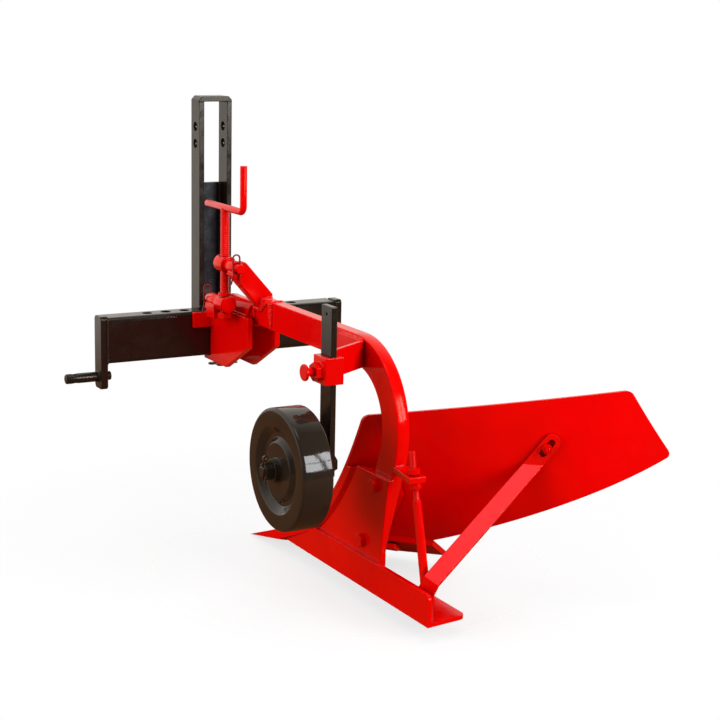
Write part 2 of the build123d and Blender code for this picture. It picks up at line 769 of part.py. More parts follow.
def plough_hole(face_point, normal, grip):
    """Hole for a plough bolt in a curved plate, its countersink open past the working side."""
    past = plough_head_depth
    place = Plane(origin=face_point + normal * past, z_dir=normal * -1)
    mouth = 2 * plough_head_radius - plough_bolt_radius
    sink = Cone(mouth, plough_bolt_radius, past + plough_head_depth, align=lower_start)
    return place * (sink + Cylinder(plough_bolt_radius, past + grip, align=lower_start))


def share_corners():
    joint_left = Vector(land_face, board_point(land_face, joint_height).Y, joint_height)
    joint_right = Vector(board_low_x, share_joint_rear, joint_height)
    return joint_left, joint_right


def share_side(joint, edge, thickness):
    """Unit vectors along the slope and down from it, in the vertical plane of a joint and an edge point."""
    slope = (edge - joint).normalized()
    level = Vector(edge.X - joint.X, edge.Y - joint.Y, 0).normalized()
    down = Vector(level.X * slope.Z, level.Y * slope.Z, -(slope.X * level.X + slope.Y * level.Y))
    return slope, down * thickness


def flat_sided(points, facets):
    """Solid with flat facets, each a list of corner numbers."""
    faces = [Face(Wire.make_polygon([points[number] for number in facet], close=True)) for facet in facets]
    return Solid(Shell(faces))


def share_body():
    joint_left, joint_right = share_corners()
    slope, down = share_side(joint_left, share_tip, share_shin_thickness)
    left = [joint_left, share_tip, share_nose, joint_left + down]
    slope, down = share_side(joint_right, share_wing, share_thickness)
    right = [joint_right, share_wing, share_wing - slope * share_bevel + down, joint_right + down]
    top = [(0, 4, 5), (0, 5, 1)]
    bevel = [(1, 5, 6), (1, 6, 2)]
    under = [(2, 6, 3), (3, 6, 7)]
    rear = [(0, 3, 7), (0, 7, 4)]
    ends = [(0, 1, 2), (0, 2, 3), (4, 7, 6), (4, 6, 5)]
    return flat_sided(left + right, top + bevel + under + rear + ends)


def share_spot(step):
    """Point on the share's working side above its bracket, and the normal there."""
    joint_left, joint_right = share_corners()
    joint = joint_left + (joint_right - joint_left) * step
    edge = share_tip + (share_wing - share_tip) * step
    normal = (joint_right - joint_left).cross(edge - joint).normalized()
    if normal.Z < 0:
        normal = normal * -1
    return joint + (edge - joint).normalized() * share_bolt_drop, normal


def plough_body():
    share = share_body()
    board = board_sheet(0, board_thickness) & front_prism(board_outline())
    plate_outline = make_face(Polyline(
        (land_face, joint_height + plate_margin),
        (shin_plate_side, joint_height + plate_margin),
        (shin_plate_side, frog_top - shin_plate_drop),
        (shin_plate_side - shin_plate_slant, frog_top - shin_plate_gap),
        (land_face, frog_top - shin_plate_gap),
        close=True,
    ))
    plate_back = -shin_plate_thickness - seat_gap
    shin_plate = board_sheet(plate_back, shin_plate_thickness) & front_prism(plate_outline)
    bolts = []
    nuts = []
    grip = board_thickness + shin_plate_thickness + seat_gap
    for spot in board_bolt_spots:
        normal = board_normal(*spot)
        bolt, nut = plough_bolt(board_point(*spot) + normal * board_thickness, normal, grip)
        bolts.append(bolt)
        nuts.append(nut)
        board = board - plough_hole(board_point(*spot) + normal * board_thickness, normal, grip)
        shin_plate = shin_plate - bolt - nut
    frog_front = block((-far, 0), (-far, far), (joint_height - plate_margin, far))
    frog_front = frog_front & board_sheet(plate_back - seat_gap, 4 * shin_plate_thickness)
    frog = frog_plate() - frog_front - share
    frog = frog.solids().sort_by(SortBy.VOLUME)[-1]
    bracket = share_bracket()
    for step in share_bolt_steps:
        point, normal = share_spot(step)
        bolt, nut = plough_bolt(point, normal, share_thickness + bracket_gap + bracket_thickness)
        bolts.append(bolt)
        nuts.append(nut)
        share = share - bolt
        bracket = bracket - bolt - nut
    nodes["share"] = share
    nodes["share_bracket"] = bracket
    nodes["mouldboard"] = board
    nodes["shin_plate"] = shin_plate
    wall = landside() - share_body()
    wall = wall.solids().sort_by(SortBy.VOLUME)[-1]
    land_bolts = []
    for spot_y, spot_z in land_bolt_spots:
        face_point = Vector(land_face, spot_y, spot_z)
        bolt, nut = plough_bolt(face_point, Vector(-1, 0, 0), land_thickness + frog_thickness)
        land_bolts.append(bolt)
        wall = wall - bolt
        frog = frog - bolt
    nodes["landside_bolts"] = group(*land_bolts)
    nodes["frog"] = frog
    nodes["landside"] = wall
    return bolts, nuts


def frog_plate():
    rise = frog_top - joint_height
    heights = [joint_height + row * rise / sheet_rows for row in range(sheet_rows + 1)]
    front = [(board_point(frog_left, height).Y - frog_front_gap, height) for height in heights]
    low_front = [(frog_throat_y, frog_throat_z), (frog_toe_y, land_thickness)]
    rear = [(frog_rear_low, land_thickness), (frog_rear_low, frog_rear_step), (frog_rear_top, frog_top)]
    body = side_plate(rear + front[::-1] + low_front, frog_left, -beam_side)
    for rise in frog_bolt_rises:
        hole_y, hole_z = frog_bolt_centre(rise)
        body = body - post((frog_left, hole_y, hole_z), (1, 0, 0), frog_bolt_radius, frog_thickness)
    return body


def landside():
    wall = side_plate([
        (heel_y, 0),
        (land_front, 0),
        (land_nose_y, land_nose_z),
        (land_shin_y, land_height),
        (heel_y, land_height),
    ], land_face, wall_inner)
    heel_corner = wall.edges().filter_by(Axis.X).sort_by_distance((land_face, heel_y, land_height))[0]
    wall = fillet(heel_corner, heel_round)
    foot_side = land_face + land_foot
    foot = make_face(Polyline(
        (land_face, heel_y),
        (foot_side, heel_y + foot_slant),
        (foot_side, foot_shoulder_y),
        (wall_inner, foot_front_y),
        (land_face, foot_tip_y),
        close=True,
    ))
    foot = fillet(corner(foot, (foot_side, heel_y + foot_slant, 0)), foot_round)
    return wall + extrude(foot, amount=land_thickness)


def share_bracket():
    """Plate under the share, beside the frog."""
    joint_left, joint_right = share_corners()
    direction = (joint_right - joint_left).normalized()
    point, normal = share_spot(sum(share_bolt_steps) / 2)
    under = point - normal * (share_thickness + bracket_gap + bracket_thickness / 2)
    place = Plane(origin=under, x_dir=direction, z_dir=normal)
    plate = place * Box(bracket_length, bracket_width, bracket_thickness)
    plate = plate & block((-beam_side, far), (-far, far), (bracket_low, far))
    return (plate - share_body()).solids().sort_by(SortBy.VOLUME)[-1]


def frog_fasteners():
    bolts = []
    nuts = []
    for rise in frog_bolt_rises:
        hole_y, hole_z = frog_bolt_centre(rise)
        head = hex_nut((frog_left, hole_y, hole_z), (-1, 0, 0), frog_bolt_flats, frog_head_height, 0)
        length = frog_thickness + beam_width + frog_nut_height + frog_bolt_tail
        bolts.append(head + post((frog_left, hole_y, hole_z), (1, 0, 0), frog_bolt_radius, length))
        nut_start = (beam_side, hole_y, hole_z)
        nuts.append(hex_nut(nut_start, (1, 0, 0), frog_bolt_flats, frog_nut_height, frog_bolt_radius))
    nodes["frog_bolts"] = group(*bolts)
    nodes["frog_nuts"] = group(*nuts)


def stay():
    way = (stay_foot - stay_top).normalized()
    length = (stay_foot - stay_top).length
    shoulder = stay_top + way * stay_thread_length
    stud = post(stay_top, way, stay_thread_radius, stay_thread_length)
    nodes["stay_rod"] = stud + post(shoulder, way, stay_radius, length + pin_chamfer - stay_thread_length)
    middle = stay_top + way * ((stay_top.Z - lug_height) / -way.Z)
    lug_left = middle.X + lug_shift - lug_width / 2
    outline = make_face(Polyline(
        (-beam_side, middle.Y + lug_ahead),
        (lug_left, middle.Y - lug_behind),
        (lug_left + lug_width, middle.Y - lug_behind),
        (beam_side, middle.Y + lug_ahead),
        close=True,
    ))
    lug = extrude(Plane.XY.offset(lug_height - lug_thickness / 2) * outline, amount=lug_thickness)
    lug = lug - post(stay_top, way, stay_thread_radius + lug_play, length)
    lug = lug - nodes["beam"] - nodes["frog"]
    nodes["stay_lug"] = lug.solids().sort_by(Axis.Y)[0]
    lean = math.acos(-way.Z)
    seat = lug_thickness / 2 / math.cos(lean) + stay_nut_flats / math.sqrt(3) * math.tan(lean)
    upper = hex_nut(middle - way * seat, way * -1, stay_nut_flats, stay_nut_height, stay_thread_radius)
    lower = hex_nut(middle + way * seat, way, stay_nut_flats, stay_nut_height, stay_thread_radius)
    nodes["stay_nuts"] = group(upper, lower)
    block_y = (stay_foot.Y - heel_block_behind, stay_foot.Y + heel_block_ahead)
    heel = block((wall_inner, wall_inner + heel_block_width), block_y, (land_thickness, stay_foot.Z))
    rod = nodes["stay_rod"]
    for spot in land_bolt_spots:
        place = Vector(land_face, *spot)
        heel = heel - plough_bolt(place, Vector(-1, 0, 0), land_thickness + frog_thickness)[0]
    nodes["heel_block"] = heel - rod


def bar_section(middle, across, through):
    corners = [middle + across + through, middle - across + through]
    return corners + [middle - across - through, middle + across - through]


def flat_bar(sections):
    """Bar with flat facets through four-cornered sections."""
    points = [point for section in sections for point in section]
    facets = [(0, 1, 2), (0, 2, 3)]
    for start in range(0, len(points) - 4, 4):
        for side in range(4):
            here = start + side
            beside = start + (side + 1) % 4
            facets.append((here, beside, beside + 4))
            facets.append((here, beside + 4, here + 4))
    last = len(points) - 4
    facets.append((last, last + 1, last + 2))
    facets.append((last, last + 2, last + 3))
    return flat_sided(points, facets)


def mitre(first, second):
    """Half the bar's thickness along the line midway between two face normals."""
    middle = (first + second).normalized()
    return middle * (brace_thickness / 2 / middle.dot(first))


def brace():
    """Flat bar folded down at its foot, beside the landside, and flat against the mouldboard at its top."""
    back = board_normal(*brace_spot) * -1
    seat = board_point(*brace_spot) + back * (brace_thickness / 2 + sliding_clearance)
    low = Vector(brace_fold_x, brace_fold_y, brace_fold_z)
    reach = seat - low
    straight = (reach - back * reach.dot(back)).normalized()
    turn = math.radians(brace_turn)
    rise = straight * math.cos(turn) + back.cross(straight) * math.sin(turn)
    high = seat - rise * brace_tab
    way = (high - low).normalized()
    fold = back.cross(rise - way).normalized()
    across = (fold - way * way.dot(fold)).normalized()
    slant = fold.dot(across)
    plumb = Vector(0, 0, 1)
    upright = (plumb - across * plumb.dot(across)).normalized()
    face = way.cross(across)
    foot_face = upright.cross(across)
    side = across * (brace_width / 2)
    tab_side = back.cross(rise) * (brace_width / 2)
    fold_side = fold * (brace_width / 2 / slant)
    through = mitre(face, back)
    through = through - fold * (through.dot(across) / slant)
    round_end = seat + rise * (brace_tab_end - brace_width / 2)
    half = brace_thickness / 2
    body = flat_bar([
        bar_section(low - upright * brace_foot, side, foot_face * half),
        bar_section(low, side, mitre(foot_face, face)),
        bar_section(high, fold_side, through),
        bar_section(round_end, tab_side, back * half),
    ])
    body = body + post(round_end - back * half, back, brace_width / 2, brace_thickness)
    body = body & block((wall_inner, far), (-far, far), (land_thickness, far))
    body = body - nodes["mouldboard"] - nodes["heel_block"] - nodes["stay_rod"]
    slot_place = Plane(origin=seat, x_dir=rise, z_dir=back)
    slot = slot_place * SlotOverall(brace_slot_length, brace_slot)
    body = body - extrude(slot, amount=2 * brace_thickness, both=True)
    nodes["brace"] = body.solids().sort_by(SortBy.VOLUME)[-1]
    face_point = board_point(*brace_spot) - back * board_thickness
    grip = board_thickness + brace_thickness + 2 * sliding_clearance
    bolt, nut = plough_bolt(face_point, back * -1, grip)
    nodes["mouldboard"] = nodes["mouldboard"] - plough_hole(face_point, back * -1, grip)
    return bolt, nut


def build():
    headstock()
    mast()
    bracket()
    roll_pivot()
    roll_screw()
    beam()
    wheel_gear()
    bolts, nuts = plough_body()
    frog_fasteners()
    stay()
    brace_bolt, brace_nut = brace()
    nodes["plough_bolts"] = group(*bolts, brace_bolt)
    nodes["plough_nuts"] = group(*nuts, brace_nut)
    os.makedirs("parts", exist_ok=True)
    for name, shape in nodes.items():
        export_step(shape, "parts/" + name + ".step")


build()
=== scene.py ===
import math
import random

import bmesh
import bpy
from mathutils import Matrix, Vector


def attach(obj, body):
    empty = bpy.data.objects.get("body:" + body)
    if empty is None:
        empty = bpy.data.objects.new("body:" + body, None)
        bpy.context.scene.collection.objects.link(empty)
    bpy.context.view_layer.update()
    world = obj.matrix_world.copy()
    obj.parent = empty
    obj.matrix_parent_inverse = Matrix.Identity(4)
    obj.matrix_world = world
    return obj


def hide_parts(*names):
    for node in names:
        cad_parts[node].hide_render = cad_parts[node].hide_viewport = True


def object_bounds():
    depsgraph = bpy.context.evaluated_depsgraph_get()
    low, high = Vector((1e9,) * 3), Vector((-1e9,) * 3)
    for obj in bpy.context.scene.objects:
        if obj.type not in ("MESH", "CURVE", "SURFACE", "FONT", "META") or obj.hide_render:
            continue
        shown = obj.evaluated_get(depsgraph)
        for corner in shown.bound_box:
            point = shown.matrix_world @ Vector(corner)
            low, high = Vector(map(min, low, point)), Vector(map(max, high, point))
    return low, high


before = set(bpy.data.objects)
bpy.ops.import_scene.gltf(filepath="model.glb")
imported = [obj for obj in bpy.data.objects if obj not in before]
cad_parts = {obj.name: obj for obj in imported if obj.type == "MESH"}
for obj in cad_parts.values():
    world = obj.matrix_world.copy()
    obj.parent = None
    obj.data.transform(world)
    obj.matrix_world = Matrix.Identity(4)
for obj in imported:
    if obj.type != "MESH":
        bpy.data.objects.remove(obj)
cad_box = [list(corner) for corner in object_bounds()]
mm_per_m = 1000

# Photograph's camera, in metres and degrees, with its lens and sensor in millimetres
camera_spot = Vector((-1.5773, -2.7931, 1.1214))
camera_azimuth = -29.2
camera_elevation = 12.0
camera_roll = 1.2
camera_lens = 84.5
camera_sensor = 36.0

# Colours of paint and steel, linear
red_base = (0.88, 0.0006, 0.0004, 1)
red_deep = (0.76, 0.0005, 0.0004, 1)
# Painted shade: the darker red given to corners and narrow gaps
red_painted_shade = (0.24, 0.0016, 0.0006, 1)
# Colour of red edges: thinner paint, made lighter as a painted highlight
red_thin_highlit_edge = (0.92, 0.006, 0.003, 1)
black_base = (0.016, 0.0105, 0.0075, 1)
black_deep = (0.009, 0.0060, 0.0045, 1)
# Painted shade: the darker black given to corners and narrow gaps
black_painted_shade = (0.004, 0.0028, 0.002, 1)
# Colour of black edges: thinner paint, made lighter as a painted highlight
black_thin_highlit_edge = (0.030, 0.023, 0.017, 1)
# The mast web's dark paint with a blue tint that is a painted sky reflection
web_base_and_sky_reflection = (0.011, 0.014, 0.020, 1)
web_deep_and_sky_reflection = (0.007, 0.009, 0.014, 1)
# Painted shade for the web's corners and narrow gaps
web_painted_shade = (0.003, 0.004, 0.006, 1)
# Colour of the web's edges: thinner paint, made lighter as a painted highlight
web_thin_highlit_edge = (0.024, 0.027, 0.032, 1)
dip_base = (0.027, 0.019, 0.013, 1)
dip_deep = (0.017, 0.012, 0.008, 1)
wire_base = (0.26, 0.003, 0.002, 1)
# Deep tone of the clips, also their painted shade colour in corners and gaps
wire_deep_and_shade = (0.12, 0.002, 0.001, 1)
steel_base = (0.42, 0.40, 0.37, 1)
steel_deep = (0.16, 0.14, 0.12, 1)

# Tints of the paints' reflections
red_tint = (1.0, 0.36, 0.28, 1)
gloss_tint = (1.0, 0.72, 0.80, 1)
clear_tint = (1.0, 0.96, 0.95, 1)
black_tint = (1.0, 0.94, 0.84, 1)
dip_tint = (0.94, 0.97, 1.0, 1)

# Colours of the room and the floor
room_dark = (0.03, 0.029, 0.027, 1)
room_pale = (1.0, 0.94, 0.86, 1)
room_white = (1, 1, 1, 1)
floor_seen = (0.90, 0.90, 0.90, 1)
floor_bounce = (0.25, 0.10, 0.035, 1)

# Paint: noise as scale per metre and detail, masks as the span they rise over, depths in metres
tone_noise = (7, 3)
tone_span = (0.40, 0.72)
rough_noise = (45, 4)
rough_span = (0.3, 0.7)
sag_noise = (26, 2)
sag_strength = 0.12
peel_noise = (420, 1)
peel_strength = 0.05
peel_depth = 0.0006
edge_radius = 0.0012
# Edges: thinner paint, lightened as a painted highlight
thin_highlit_edge_span = (0.98, 0.78)
thin_highlit_edge_most = 0.7
# Painted shade: reach and strength of the darkening laid into corners and gaps
painted_shade_reach = 0.05
painted_shade_span = (0.62, 0.18)
painted_shade_most = 0.85
mask_samples = 4

# Steel, in the same units
steel_noise = (160, 4)
steel_span = (0.3, 0.7)
steel_rough_noise = (300, 3)
steel_rough = (0.18, 0.38)
grain_noise = (900, 2)
grain_strength = 0.1
grain_depth = 0.0004

# Sockets of a Mix node that hold its colours
mix_first = 6
mix_second = 7
mix_result = 2

# Nodes by colour, and by how their edges are rounded
black_nodes = {
    "crossbar", "end_plates", "link_pins", "mast_left", "mast_right", "mast_cap", "mast_web",
    "standard", "axle", "axle_nut", "axle_washer", "castle_nut", "wheel", "hub",
}
steel_nodes = {"lock_pin", "lock_clip", "split_pin"}
sharp_nodes = {
    "lock_clip", "lower_clip", "upper_clip", "split_pin", "crank_screw", "stay_rod",
    "share", "mouldboard",
}
nut_nodes = {
    "axle_nut", "castle_nut", "clamp_nut", "frog_nuts", "frog_bolts", "plough_nuts", "plough_bolts",
    "stay_nuts", "screw_nut", "shaft_nut", "landside_bolts", "axle_washer", "screw_collar",
}
thin_nodes = {"shin_plate", "mast_web", "brace"}
clamped_nodes = {"landside", "heel_block", "share_bracket"}

# Edges, in metres and degrees
edge_round = 0.0013
nut_round = 0.0005
thin_round = 0.0008
round_segments = 2
round_angle = 35
join_reach = 0.00001
flat_angle = 0.5
crisp_angle = 50

# Weld beads: spacing and gap in millimetres, pitch and thickness as shares of a bead's radius
bead_spacing = 1.3
bead_pitch = 1.25
bead_least = 0.74
bead_ripple = 0.34
bead_scatter = 0.16
bead_tip = 0.12
bead_sides = 10
bead_hint = Vector((0.31, 0.42, 0.85))
closed_gap = 0.01
ring_steps = 60
bead_seed = 11
dice = random.Random(bead_seed)

# Axes for rings
x_axis = (1, 0, 0)
y_axis = (0, 1, 0)

# Seams of the headstock's left half, in millimetres
seam_inset = 1
bar_top = 428
bar_bottom = 325
bar_front = 718
bar_rise = (bar_bottom + seam_inset, bar_top - seam_inset)
post_outer = -40
post_inner = -28
post_front = 764
post_width = (post_outer, post_inner)
web_side = -27
web_back = 755.5
web_top = 706
cap_bottom = 893
cap_depth = (bar_front + seam_inset, post_front - seam_inset)
shoulder_x = -300
plate_inner = -284
plate_back = 659
plate_front = 700
plate_depth = (662, 698)
hitch_y = 680
hitch_z = 295
shoulder_ring = 11.2
root_ring = 10.2

# Seams of the carriage, in millimetres
cheek_side = -39
tube_side = -28
tube_foot = 443.5
tube_depth = (492, 616)
guide_back = 647.5
guide_rise = (395, 427)
guide_bottom = 393.8
guide_depth = (651, 657)
outrigger_back = 540
outrigger_front = 580
outrigger_depth = (outrigger_back + seam_inset, outrigger_front - seam_inset)
outrigger_bottom = 433
outrigger_top = 443
outrigger_rise = (outrigger_bottom + seam_inset, outrigger_top)
sleeve_left = -79.5
sleeve_right = -56.5
sleeve_foot = 462

# Seams of the beam's head, the tilt arm and the stay, in millimetres
beam_face = -13
beam_side = -13.4
beam_top = 488
beam_crown = 488.5
beam_front = 400
joint_half = 12.4
joint_bottom = 430
head_front = 486
pivot_z = 446
shaft_radius = 19
arm_depth = (450, 479)
arm_high_x = -56.3
arm_high_z = 565.7
arm_low_x = -77.1
arm_low_z = 547.3
lug_width = (-12, 12)
lug_top_y = -135
lug_top_z = 261
lug_foot_y = -130.8
lug_foot_z = 249
stay_top = (-10, -194, 306)
stay_foot = (-1, -241, 50)
stay_slope = (0.04, -0.18, -0.98)
stay_ring = 8.8

# Seams of the wheel arm and the clamp socket, in millimetres
wheel_arm_top = 481.5
wheel_arm_front = 80
wheel_arm_depth = (-6, wheel_arm_front - seam_inset)
wheel_arm_rise = (430, 480)
wheel_arm_back = -65.2
wheel_arm_face = -55.8
socket_left = -140.5
socket_right = -102.5
socket_rise = (430, 470)
clamp_z = 444
clamp_ring = 17

# Wheel, in millimetres
wheel_y = -68.5
wheel_z = 263.0
wheel_left = -230.5
wheel_right = -168.0
wheel_radius = 117.0
wheel_wall = 6.0
rim_inner = 84.0
dish_outer = 70.0
dish_inner = 61.0
dish_depth = 12.0
boss_radius = 52.0
boss_depth = 4.0
back_shift = 2.0
hub_radius = 22.0
rim_fillet = 6.0
lip_fillet = 7.0
dish_fillet = 4.0
boss_fillet = 5.0
bore_fillet = 0.5
inner_fillet = 3.0
hem_fillet = 1.0
tread_fillet = 4.0
hole_drop = 65.5
hole_radius = 3.5
hole_depth = 40
hole_sides = 24
wheel_sides = 144
fillet_steps = 5
standard_left = -127.5
collar_radius = 18

# Roll screw from its foot and stay stud from its top, in millimetres
screw_foot = (-68, 517, 436.2)
screw_top = (-68, 517, 680)
screw_outer = 10.0
screw_root = 8.7
screw_pitch = 4.0
screw_tip = 9.2
screw_tip_end = 1.0
screw_thread_start = 58.6
screw_thread_end = 236.0
screw_neck = 9.4
screw_end = 243.6
stay_outer = 6.0
stay_root = 5.2
stay_pitch = 1.75
stay_tip = 5.4
stay_tip_end = 0.8
stay_thread_end = 91.0
stay_step = 6.4
stay_step_end = 92.5
stay_shank = 8.5
stay_lead_end = 94.5
stay_end = 261.0
flank_slope = 2.4
thread_steps = 8
thread_sides = 28
plain_steps = 4

# Studio, in metres and watts
aim_spot = Vector((0.0, 0.1, 0.35))
pane_spot = (1.7, -3.3, 1.6)
pane_shift = (0.42, 0.2, 0.5)
pane_size = (0.78, 0.88)
pane_power = 27
left_spot = Vector((-3.4, 0.4, 1.25))
left_size = (2.8, 2.2)
left_power = 68
top_spot = Vector((-0.3, -0.7, 3.4))
top_size = (2.0, 1.2)
top_power = 12
sky_light = 0.76
ground_light = 0.02
sky_span = (-0.2, 0.6)
room_span = (-0.15, 0.35)

# Floor, in metres, with the spans of its masks as shares of a radius
floor_x = 0.05
floor_y = 0.15
floor_drop = 0.0005
floor_sides = 96
floor_radius = 3.3
rim_from = 0.57
rim_to = 0.97
floor_shown = 1.1
shown_from = 0.35
floor_through = 0.72


def link(tree, source, target):
    tree.links.new(source, target)


def add_node(tree, kind, **settings):
    node = tree.nodes.new(kind)
    for name, value in settings.items():
        setattr(node, name, value)
    return node


def noise(tree, scale, detail):
    """Noise of a given scale per metre on the piece's own coordinates."""
    place = add_node(tree, "ShaderNodeTexCoord")
    node = add_node(tree, "ShaderNodeTexNoise")
    node.inputs["Scale"].default_value = scale
    node.inputs["Detail"].default_value = detail
    link(tree, place.outputs["Object"], node.inputs["Vector"])
    return node.outputs["Fac"]


def ramp(tree, source, span, values=(0.0, 1.0)):
    """Moves from the first value to the second while the source crosses the span."""
    node = add_node(tree, "ShaderNodeMapRange", clamp=True)
    node.inputs["From Min"].default_value = span[0]
    node.inputs["From Max"].default_value = span[1]
    node.inputs["To Min"].default_value = values[0]
    node.inputs["To Max"].default_value = values[1]
    link(tree, source, node.inputs["Value"])
    return node.outputs["Result"]


def blend_colour(tree, factor, first, second):
    node = add_node(tree, "ShaderNodeMix", data_type="RGBA")
    link(tree, factor, node.inputs["Factor"])
    for socket, value in ((node.inputs[mix_first], first), (node.inputs[mix_second], second)):
        if isinstance(value, tuple):
            socket.default_value = value
        else:
            link(tree, value, socket)
    return node.outputs[mix_result]


def calculate(tree, operation, first, second):
    node = add_node(tree, "ShaderNodeMath", operation=operation)
    link(tree, first, node.inputs[0])
    link(tree, second, node.inputs[1])
    return node.outputs["Value"]


def mix_shaders(tree, factor, first, second):
    node = add_node(tree, "ShaderNodeMixShader")
    link(tree, factor, node.inputs["Fac"])
    link(tree, first, node.inputs[1])
    link(tree, second, node.inputs[2])
    return node.outputs["Shader"]


def round_normal(tree):
    """Normal of the surface with its edges rounded."""
    node = add_node(tree, "ShaderNodeBevel", samples=mask_samples)
    node.inputs["Radius"].default_value = edge_radius
    return node.outputs["Normal"]


def thin_highlit_edge_mask(tree, normal):
    """Rises where the rounded normal leaves the flat one, at edges with thinner paint, lightened there as
    a painted highlight.
    """
    geometry = add_node(tree, "ShaderNodeNewGeometry")
    dot = add_node(tree, "ShaderNodeVectorMath", operation="DOT_PRODUCT")
    link(tree, geometry.outputs["Normal"], dot.inputs[0])
    link(tree, normal, dot.inputs[1])
    return ramp(tree, dot.outputs["Value"], thin_highlit_edge_span, (0.0, thin_highlit_edge_most))


def painted_shade_mask(tree):
    """Rises in corners and narrow gaps, as painted shade where shade falls."""
    node = add_node(tree, "ShaderNodeAmbientOcclusion", samples=mask_samples)
    node.inputs["Distance"].default_value = painted_shade_reach
    return ramp(tree, node.outputs["AO"], painted_shade_span, (0.0, painted_shade_most))


def bump(tree, height, strength, distance, below):
    node = add_node(tree, "ShaderNodeBump")
    node.inputs["Strength"].default_value = strength
    node.inputs["Distance"].default_value = distance
    link(tree, height, node.inputs["Height"])
    link(tree, below, node.inputs["Normal"])
    return node.outputs["Normal"]


def paint(name, tones, tint, rough, ior, sag_depth):
    """Enamel: tone changes, thinner paint along the edges lightened as a painted highlight, painted shade
    in corners and narrow gaps, sags and orange peel.
    """
    base, deep, shade_colour, thin_highlit_edge = tones
    material = bpy.data.materials.new(name)
    material.use_nodes = True
    tree = material.node_tree
    shader = tree.nodes["Principled BSDF"]
    normal = round_normal(tree)
    tone = blend_colour(tree, ramp(tree, noise(tree, *tone_noise), tone_span), base, deep)
    shaded = blend_colour(tree, painted_shade_mask(tree), tone, shade_colour)
    colour = blend_colour(tree, thin_highlit_edge_mask(tree, normal), shaded, thin_highlit_edge)
    link(tree, colour, shader.inputs["Base Color"])
    link(tree, ramp(tree, noise(tree, *rough_noise), rough_span, rough), shader.inputs["Roughness"])
    sag = bump(tree, noise(tree, *sag_noise), sag_strength, sag_depth, normal)
    peel = bump(tree, noise(tree, *peel_noise), peel_strength, peel_depth, sag)
    link(tree, peel, shader.inputs["Normal"])
    shader.inputs["IOR"].default_value = ior
    shader.inputs["Specular Tint"].default_value = tint
    return material


def steel(name):
    """Plated steel gone dull, with blotches and a fine grain."""
    material = bpy.data.materials.new(name)
    material.use_nodes = True
    tree = material.node_tree
    shader = tree.nodes["Principled BSDF"]
    normal = round_normal(tree)
    blotches = ramp(tree, noise(tree, *steel_noise), steel_span)
    link(tree, blend_colour(tree, blotches, steel_base, steel_deep), shader.inputs["Base Color"])
    shader.inputs["Metallic"].default_value = 1.0
    rough = ramp(tree, noise(tree, *steel_rough_noise), steel_span, steel_rough)
    link(tree, rough, shader.inputs["Roughness"])
    grain = bump(tree, noise(tree, *grain_noise), grain_strength, grain_depth, normal)
    link(tree, grain, shader.inputs["Normal"])
    return material


# Tones: base, deep, painted shade colour for corners and gaps, and the colour of edges, where thinner
# paint is lightened as a painted highlight
red_tones = (red_base, red_deep, red_painted_shade, red_thin_highlit_edge)
black_tones = (black_base, black_deep, black_painted_shade, black_thin_highlit_edge)
dip_tones = (dip_base, dip_deep, black_painted_shade, black_thin_highlit_edge)
web_tones_and_sky_reflection = (web_base_and_sky_reflection, web_deep_and_sky_reflection, web_painted_shade, web_thin_highlit_edge)
wire_tones = (wire_base, wire_deep_and_shade, wire_deep_and_shade, red_thin_highlit_edge)
red_paint = paint("red_paint", red_tones, red_tint, rough=(0.09, 0.19), ior=1.42, sag_depth=0.002)
red_gloss = paint("red_gloss", red_tones, gloss_tint, rough=(0.08, 0.22), ior=1.46, sag_depth=0.004)
red_weld = paint("red_weld", red_tones, clear_tint, rough=(0.06, 0.14), ior=1.50, sag_depth=0.003)
red_dull = paint("red_dull", red_tones, red_tint, rough=(0.40, 0.56), ior=1.22, sag_depth=0.002)
red_wire = paint("red_wire", wire_tones, clear_tint, rough=(0.10, 0.20), ior=1.50, sag_depth=0.001)
black_paint = paint("black_paint", black_tones, black_tint, rough=(0.14, 0.26), ior=1.45, sag_depth=0.001)
# Mast web's enamel, whose blue tint is a painted sky reflection
web_paint_and_sky_reflection = paint("web_paint_and_sky_reflection", web_tones_and_sky_reflection, dip_tint, rough=(0.18, 0.32), ior=1.45, sag_depth=0.003)
black_dip = paint("black_dip", dip_tones, dip_tint, rough=(0.05, 0.10), ior=1.45, sag_depth=0.004)
bare_steel = steel("bare_steel")
slot_paints = {"red_paint": red_paint, "black_paint": black_paint, "bare_steel": bare_steel}
weld_paints = {"red_paint": red_weld, "black_paint": black_dip}
own_paints = {
    "mast_web": web_paint_and_sky_reflection,
    "lower_clip": red_wire,
    "upper_clip": red_wire,
    "brace": red_gloss,
    "share": red_dull,
    "wheel": black_dip,
    "hub": black_dip,
    "castle_nut": black_dip,
    "axle_washer": black_dip,
    "axle": black_dip,
}


def node_paint(name):
    if name in own_paints:
        return own_paints[name]
    if name in black_nodes:
        return slot_paints["black_paint"]
    if name in steel_nodes:
        return slot_paints["bare_steel"]
    return slot_paints["red_paint"]


def round_edges(node, name):
    """Small radius on a node's sharp edges, as rolled and dressed steel has."""
    width = edge_round
    if name in nut_nodes:
        width = nut_round
    if name in thin_nodes:
        width = thin_round
    join = node.modifiers.new("join", "WELD")
    join.merge_threshold = join_reach
    flatten = node.modifiers.new("flatten", "DECIMATE")
    flatten.decimate_type = "DISSOLVE"
    flatten.angle_limit = math.radians(flat_angle)
    bevel = node.modifiers.new("round", "BEVEL")
    bevel.width = width
    bevel.segments = round_segments
    bevel.limit_method = "ANGLE"
    bevel.angle_limit = math.radians(round_angle)
    bevel.use_clamp_overlap = name in clamped_nodes


def dress_nodes():
    """Paint on every CAD node, and rounded edges on all but the sharp ones."""
    for name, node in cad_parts.items():
        node.data.materials.clear()
        node.data.materials.append(node_paint(name))
        if name not in sharp_nodes:
            round_edges(node, name)


